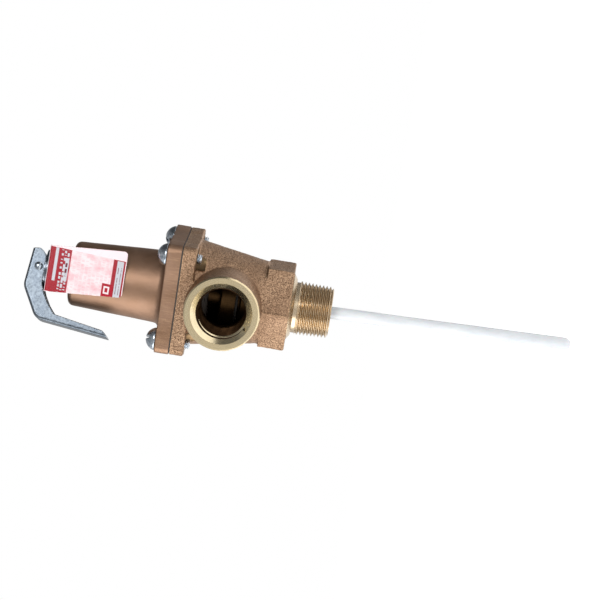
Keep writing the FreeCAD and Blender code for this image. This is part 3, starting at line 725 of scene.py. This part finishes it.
def thread_inlet():
    nipple = threaded_rod(
        "nipple", thread_stop, inlet_crest, thread_depth, thread_pitch, fade=1.2 * mm, lead=1.2 * mm
    )
    paint(nipple, thread_bronze)
    neck_z = thread_stop - mm
    outline = [(0, neck_z), (inlet_neck_r, neck_z), (inlet_neck_r, thread_end), (collar_low_r, thread_end)]
    outline += [(collar_r, hex_z), (collar_r, hex_z + 0.6 * mm), (0, hex_z + 0.6 * mm)]
    boolean(nipple, paint(lathe("collar", outline), thread_bronze), "UNION")
    boolean(body, nipple, "UNION")
    cut(body, rod(inlet_bore_r, -5 * mm, pocket_z + mm))


tap_outlet()
thread_inlet()
for node in screws:
    cut(body, rod(screw_r, flange_z - 20 * mm, joint_z + mm, *screw_axis(node), segments=48))
report(body)


# %% Sharp cut edges, smooth skins
def sharpen(piece, degrees):
    """Smooth shading, with edges sharper than the angle kept crisp where a tool has cut."""
    made = bmesh.new()
    made.from_mesh(piece.data)
    limit = math.radians(degrees)
    for face in made.faces:
        face.smooth = True
    for edge in made.edges:
        cast = all(face.material_index == 0 for face in edge.link_faces)
        edge.smooth = (cast and len(piece.data.materials) > 1) or edge.calc_face_angle(0) < limit
    made.to_mesh(piece.data)
    made.free()


sharpen(body, 28)
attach(body, "valve")
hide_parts("valve_body")
print("body materials", [m.name for m in body.data.materials])

# %% [markdown]
# ## Bonnet
#
# The bonnet is cast too, but in a smoother mould, and blasted. It is wrapped in the same way with fewer
# softening rounds and hardly any unevenness, and its lower face is then cut flat where it clamps the
# diaphragm.

# %% Bonnet
def make_bonnet():
    blank = copy_node("bonnet", "bonnet_casting")
    below = copy_node("bonnet", "below")
    below.data.transform(Matrix.Translation((0, 0, -mm)))
    add_solids(blank, [below])
    wrap(blank, 0.45 * mm, 7)
    roughen(blank, 6.0 * mm, 0.16 * mm)
    paint(blank, bonnet_bronze)
    cut(blank, rod(60 * mm, bonnet_z - 20 * mm, bonnet_z), bonnet_bronze)
    return blank


bonnet = make_bonnet()
sharpen(bonnet, 50)
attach(bonnet, "valve")
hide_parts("bonnet")
report(bonnet)

# %% [markdown]
# ## Flange screws
#
# Four slotted round-head screws hold the flanges. The head is wrapped finely, so that its slot and rim have
# the soft edges of a cold-headed and plated screw. The shank is a threaded rod, because its tip can be seen
# behind the body's flange.

# %% Flange screws
def screw_crest(z):
    """The screw's thread keeps one radius all the way."""
    return screw_r


def make_screw(node):
    low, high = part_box(node)
    x, y = screw_axis(node)
    head_z = bonnet_high.z - bonnet_above_flange
    head = copy_node(node, node + "_finished")
    wrap(head, 0.16 * mm, 5)
    paint(head, screw_zinc)
    cut(head, rod(20 * mm, low.z - mm, head_z + 0.05 * mm, x, y), screw_zinc)
    length = head_z - low.z + 0.5 * mm
    thread = {"depth": 0.55 * mm, "pitch": 1.0 * mm, "fade": 8 * mm, "lead": 0.6 * mm}
    shank = threaded_rod("shank", length, screw_crest, **thread, rows=10, segments=48)
    shank.data.transform(Matrix.Translation((x, y, low.z)))
    boolean(head, paint(shank, screw_zinc), "UNION")
    sharpen(head, 40)
    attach(head, "valve")
    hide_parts(node)
    return head


for node in screws:
    report(make_screw(node))

# %% [markdown]
# ## Test lever
#
# The lever is a channel pressed from thick sheet. Pressing and tumbling round every edge, so the modelled
# channel is wrapped finely and softened a little.

# %% Test lever
lever = copy_node("lever", "pressed_lever")
wrap(lever, 0.26 * mm, 4)
roughen(lever, 4.0 * mm, 0.03 * mm)
paint(lever, lever_zinc)
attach(lever, "lever")
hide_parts("lever")
report(lever)

# %% [markdown]
# ## Spring and diaphragm
#
# Both change shape as the stem lifts: the spring shortens towards the fixed plate under the adjusting
# screw, and the diaphragm's bell flattens towards the flange that clamps it. The spring is a wire swept
# along a helix, ground flat at both ends.

# %% Main spring
spring_low, spring_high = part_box("spring")
wire_r = 1.5 * mm
coil_r = spring_high.x - wire_r


def make_spring(turns=8.5, steps=48, sides=14):
    made = bmesh.new()
    pitch = (spring_high.z - spring_low.z + 2 * wire_r) / turns
    rings = []
    for k in range(round(turns * steps) + 1):
        angle = 2 * math.pi * k / steps
        out = Vector((math.cos(angle), math.sin(angle), 0))
        centre = out * coil_r + Vector((0, 0, spring_low.z - wire_r + pitch * k / steps))
        ring = []
        for side in range(sides):
            turn = 2 * math.pi * side / sides
            spot = centre + (out * math.cos(turn) + Vector((0, 0, 1)) * math.sin(turn)) * wire_r
            spot.z = min(max(spot.z, spring_low.z), spring_high.z)
            ring.append(made.verts.new(spot))
        rings.append(ring)
    for first, second in zip(rings, rings[1:]):
        for side in range(sides):
            n = (side + 1) % sides
            made.faces.new((first[side], first[n], second[n], second[side]))
    made.faces.new(rings[0])
    made.faces.new(rings[-1])
    bmesh.ops.remove_doubles(made, verts=made.verts, dist=1e-6)
    bmesh.ops.dissolve_degenerate(made, edges=made.edges, dist=1e-6)
    bmesh.ops.recalc_face_normals(made, faces=made.faces)
    mesh = bpy.data.meshes.new("wound_spring")
    made.to_mesh(mesh)
    made.free()
    return new_piece("wound_spring", mesh)


spring = paint(make_spring(), spring_steel)
sharpen(spring, 50)
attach(spring, "valve")
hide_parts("spring")
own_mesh(spring)
report(spring)

# %% Diaphragm
rubber_bell = paint(copy_node("diaphragm", "rubber_bell"), diaphragm_rubber)
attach(rubber_bell, "valve")
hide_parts("diaphragm")
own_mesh(rubber_bell)

# %% [markdown]
# ## Printed tag
#
# The tag is thin aluminium sheet, printed red on its face, with a glossy varnish. The real one carries
# ratings and marks, and here plain bars and blocks stand for all of them. A pale block across the middle of
# the leaf is a painted glare on the varnish, with the print showing faintly pink through it. A map laid on
# the leaf runs from 0 to 1 across it and from 0 to 1 down it, and every block is a rectangle on that map.

# %% Lay a map on the leaf
tag_low, tag_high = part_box("id_tag")
tag_turn = math.radians(15.0)
tag_out = Vector((math.sin(tag_turn), -math.cos(tag_turn), 0))
tag_across = Vector((math.cos(tag_turn), math.sin(tag_turn), 0))
tag_width = 23.2 * mm
tag_shift = 2.4 * mm


def map_leaf(piece):
    """A map whose U runs across the leaf, towards +X, and whose V runs down it from the fold."""
    layer = piece.data.uv_layers.new(name="leaf")
    top, low = tag_high.z, tag_low.z
    for loop in piece.data.loops:
        spot = piece.data.vertices[loop.vertex_index].co
        down = (top - spot.z) / (top - low)
        across = (spot.dot(tag_across) + tag_shift * down) / tag_width + 0.5
        layer.data[loop.index].uv = (across, down)


# %% Print made of rectangles
def make_patch():
    """A mask that is 1 inside a rectangle of the map and 0 outside it."""
    group, start, end = new_group(
        "Print block",
        [("Vector", "Vector", None)] + [(n, "Float", 0.5) for n in ("U", "V", "Half U", "Half V")],
        [("Mask", "Float")],
    )
    parts = add(group, "SeparateXYZ", Vector=start["Vector"]).outputs
    inside = []
    for part, middle, half in (("X", "U", "Half U"), ("Y", "V", "Half V")):
        off = maths(group, "ABSOLUTE", maths(group, "SUBTRACT", parts[part], start[middle]))
        gap = maths(group, "SUBTRACT", start[half], off)
        inside.append(spread(group, gap, 0.0, 0.006))
    fill(group, end["Mask"], maths(group, "MULTIPLY", *inside))
    return group


print_block = make_patch()


def rows_of_bars(tree, leaf, u_count, v_count, fullness):
    """Rows of short bars with uneven gaps, standing for lines of small print that run across the leaf."""
    cells = add(tree, "Mapping", Vector=leaf, Scale=(u_count, v_count, 1.0)).outputs[0]
    parts = add(tree, "SeparateXYZ", Vector=cells).outputs
    line = maths(tree, "FLOOR", parts["Y"])
    row = spread(tree, maths(tree, "PINGPONG", parts["Y"], 0.5), 0.14, 0.18)
    spot = add(tree, "CombineXYZ", X=parts["X"], Y=maths(tree, "MULTIPLY", line, 7.3)).outputs[0]
    words = add(tree, "TexNoise", Vector=spot, Scale=1.0, Detail=1.0).outputs[0]
    return maths(tree, "MULTIPLY", row, spread(tree, words, 1 - fullness, 1.04 - fullness))


red_ink = rgb(146, 14, 34)
bright_red = rgb(156, 16, 38)
dark_ink = rgb(96, 34, 48)
silver = rgb(186, 188, 194)
# Pale ink for the small printed emblem, and the colour of the painted glare across the middle of the leaf.
pale_ink_and_glare = rgb(226, 210, 212)


def make_printed_tag():
    material, tree, surface, where = new_material("printed_tag_face", Metallic=0.0, Specular_IOR_Level=0.3)
    leaf = add(tree, "UVMap", {"uv_map": "leaf"}).outputs[0]

    def block(u, v, half_u, half_v):
        sizes = {"U": u, "V": v, "Half_U": half_u, "Half_V": half_v}
        return use(tree, print_block, Vector=leaf, **sizes)["Mask"]

    # Painted glare: noise thins the pale glare block in cloudy patches, where the red print shows pink, and
    # faint pink lines stand for print under the glare.
    wear_and_glare = add(tree, "TexNoise", Vector=leaf, Scale=5.0, Detail=4.0, Roughness=0.6).outputs[0]
    colour = mix(tree, block(0.5, 0.56, 0.5, 0.275), red_ink, pale_ink_and_glare)
    fade = maths(tree, "MULTIPLY", spread(tree, wear_and_glare, 0.42, 0.66), 0.55)
    thin_glare = maths(tree, "MULTIPLY", block(0.5, 0.55, 0.5, 0.285), fade)
    colour = mix(tree, thin_glare, colour, rgb(214, 140, 150))
    lines = rows_of_bars(tree, leaf, 26.0, 19.0, 0.5)
    print_under_glare = maths(tree, "MULTIPLY", lines, block(0.5, 0.55, 0.44, 0.27))
    colour = mix(tree, maths(tree, "MULTIPLY", print_under_glare, 0.3), colour, rgb(216, 150, 160))
    small = maths(tree, "MULTIPLY", rows_of_bars(tree, leaf, 22.0, 26.0, 0.52), block(0.5, 0.21, 0.46, 0.055))
    colour = mix(tree, small, colour, silver)
    colour = mix(tree, block(0.62, 0.10, 0.36, 0.022), colour, silver)
    colour = mix(tree, block(0.55, 0.245, 0.25, 0.026), colour, silver)
    marks = maths(tree, "MULTIPLY", rows_of_bars(tree, leaf, 15.0, 19.0, 0.55), block(0.6, 0.245, 0.2, 0.02))
    colour = mix(tree, marks, colour, dark_ink)
    colour = mix(tree, block(0.22, 0.80, 0.22, 0.075), colour, bright_red)
    colour = mix(tree, block(0.30, 0.79, 0.085, 0.04), colour, pale_ink_and_glare)
    colour = mix(tree, block(0.30, 0.79, 0.05, 0.022), colour, bright_red)
    colour = mix(tree, block(0.5, 0.925, 0.47, 0.045), colour, silver)
    lines = rows_of_bars(tree, leaf, 12.0, 10.8, 0.55)
    marks = maths(tree, "MULTIPLY", lines, block(0.46, 0.925, 0.38, 0.025))
    colour = mix(tree, marks, colour, dark_ink)
    rim = maths(tree, "SUBTRACT", 1.0, block(0.5, 0.5, 0.487, 0.492))
    colour = mix(tree, rim, colour, rgb(236, 214, 218))
    cloud = use(tree, smudges, Vector=where, Size=120.0, Low=0.22, High=0.36)
    fill(tree, surface.inputs["Base Color"], colour)
    fill(tree, surface.inputs["Roughness"], cloud["Roughness"])
    grit = add(tree, "TexNoise", Vector=where, Scale=350.0, Detail=3.0).outputs[0]
    bump = add(tree, "Bump", Height=grit, Strength=0.08, Distance=0.0001)
    fill(tree, surface.inputs["Normal"], bump.outputs[0])
    return material


printed_tag = make_printed_tag()
bare_sheet = make_soft_gloss("bare_sheet", rgb(196, 198, 202), rgb(170, 172, 178), 0.25, 0.4, metallic=1.0)

# %% Tag
def make_tag():
    tag = copy_node("id_tag", "folded_tag")
    wrap(tag, 0.2 * mm, 2)
    tag.data.materials.clear()
    for material in (bare_sheet, printed_tag):
        tag.data.materials.append(material)
    for face in tag.data.polygons:
        on_leaf = face.center.dot(tag_out) > 18.0 * mm
        face.material_index = int(face.normal.dot(tag_out) > 0.3 and on_leaf)
    map_leaf(tag)
    return tag


tag = make_tag()
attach(tag, "tag")
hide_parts("id_tag")
report(tag)

# %% [markdown]
# ## Finishes on the modelled pieces
#
# The small turned and pressed pieces inside are right as they were modelled, so they keep their meshes and
# only get a finish.

# %% Finish the rest
finishes = {
    "turned_brass": turned_brass,
    "spring_steel": spring_steel,
    "zinc_steel": lever_zinc,
    "disc_rubber": disc_rubber,
    "diaphragm_rubber": diaphragm_rubber,
    "white_plastic": white_plastic,
    "copper": copper,
    "wax": wax,
}
# These pieces sit deep inside the body, so they get the brass with painted shade.
shaded_inside = ("seat_ring", "disc_holder", "disc_washer", "disc_screw", "thermostat_bracket")
for name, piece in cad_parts.items():
    if piece.hide_render:
        continue
    for place in piece.material_slots:
        chosen = finishes[place.material.name]
        if name in shaded_inside:
            chosen = wet_brass
        if name == "pivot_pin":
            chosen = screw_zinc
        place.material = chosen
    print("finished", name)

# %% [markdown]
# ## Floor, light and camera
#
# The valve is shown lying on its side in front of white, with its outlet towards the camera. The floor lies
# under the probe's tip. A big soft lamp stands on the camera's side, a wider one low in the view, and a
# weak one beyond the probe's tip. The upper side is left darker, which gives the metal its modelling.

# %% Floor
def make_floor(side, level):
    made = bmesh.new()
    corners = [(-side, -side), (side, -side), (side, side), (-side, side)]
    made.faces.new([made.verts.new((x, y, level)) for x, y in corners])
    mesh = bpy.data.meshes.new("floor")
    made.to_mesh(mesh)
    made.free()
    floor = new_piece("floor", mesh)
    material, tree, surface, where = new_material("pale_floor", Roughness=0.8, Emission_Strength=0.72)
    surface.inputs["Emission Color"].default_value = (1, 1, 1, 1)
    tone = add(tree, "TexNoise", Vector=where, Scale=3.0, Detail=2.0).outputs[0]
    fill(tree, surface.inputs["Base Color"], mix(tree, tone, rgb(250, 250, 250), rgb(246, 246, 246)))
    paint(floor, material)
    floor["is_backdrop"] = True
    return floor


floor = make_floor(3.0, cad_box[0].z - 20 * mm)

# %% Camera
camera_turn = math.radians(13.3)
camera_roll = math.radians(8.85)
camera_distance = 1.1
back = Vector((math.sin(camera_turn), -math.cos(camera_turn), 0))
level = Vector((math.cos(camera_turn), math.sin(camera_turn), 0))
down = Vector((0, 0, -1))
right = down * math.cos(camera_roll) + level * math.sin(camera_roll)
up = level * math.cos(camera_roll) - down * math.sin(camera_roll)
target = Vector((0, 0, 15.7 * mm)) + up * 4.1 * mm


def aim(thing, place, to_right, to_up, to_back):
    """Puts a camera or a lamp at a place, with its own axes along the three directions."""
    thing.matrix_world = Matrix.Translation(place) @ Matrix((to_right, to_up, to_back)).transposed().to_4x4()


lens = bpy.data.cameras.new("camera")
lens.sensor_width = 36.0
lens.lens = 130.7
lens.clip_start = 0.01
camera = bpy.data.objects.new("camera", lens)
bpy.context.scene.collection.objects.link(camera)
aim(camera, target + back * camera_distance, right, up, back)
bpy.context.scene.camera = camera

# %% Lamps
def soft_lamp(name, direction, distance, size, power):
    """A square lamp that looks at the valve from a direction given as right, up and back of the camera."""
    away = (right * direction[0] + up * direction[1] + back * direction[2]).normalized()
    side = away.orthogonal().normalized()
    data = bpy.data.lights.new(name, "AREA")
    data.shape = "SQUARE"
    data.size = size
    data.energy = power
    lamp = bpy.data.objects.new(name, data)
    bpy.context.scene.collection.objects.link(lamp)
    aim(lamp, target + away * distance, side, away.cross(side), away)


soft_lamp("key", (-0.35, 0.35, 1.0), 1.2, 0.5, 6.0)
soft_lamp("low_side", (-0.2, -1.0, 0.25), 0.8, 0.7, 4.5)
soft_lamp("far_end", (1.0, 0.1, 0.3), 1.2, 0.5, 2.0)

# %% World
def make_world():
    """White to look at, and for the metal a room that is pale low in the view and dark high up."""
    world = bpy.data.worlds.new("studio")
    world.use_nodes = True
    tree = world.node_tree
    surface = tree.nodes["Background"]
    way = add(tree, "TexCoord").outputs["Generated"]
    height = add(tree, "VectorMath", {"operation": "DOT_PRODUCT"})
    fill(tree, height.inputs[0], way)
    height.inputs[1].default_value = up
    shade = spread(tree, height.outputs["Value"], -0.9, 0.7, 0.85, 0.12)
    seen = add(tree, "LightPath").outputs["Is Camera Ray"]
    black, white = (0, 0, 0, 1), (1, 1, 1, 1)
    fill(tree, surface.inputs["Color"], mix(tree, seen, mix(tree, shade, black, white), white))
    surface.inputs["Strength"].default_value = 1.0
    bpy.context.scene.world = world


make_world()
bpy.context.scene.view_settings.view_transform = "Standard"

# %% [markdown]
# ## Measure the size
#
# The visual model has to fill the same box as the working model, so both boxes are printed.

# %% Measure and finish
new_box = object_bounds()
for name, box in (("visual", new_box), ("model", cad_box)):
    print(name, "box in mm", [[round(c / mm, 2) for c in corner] for corner in box])
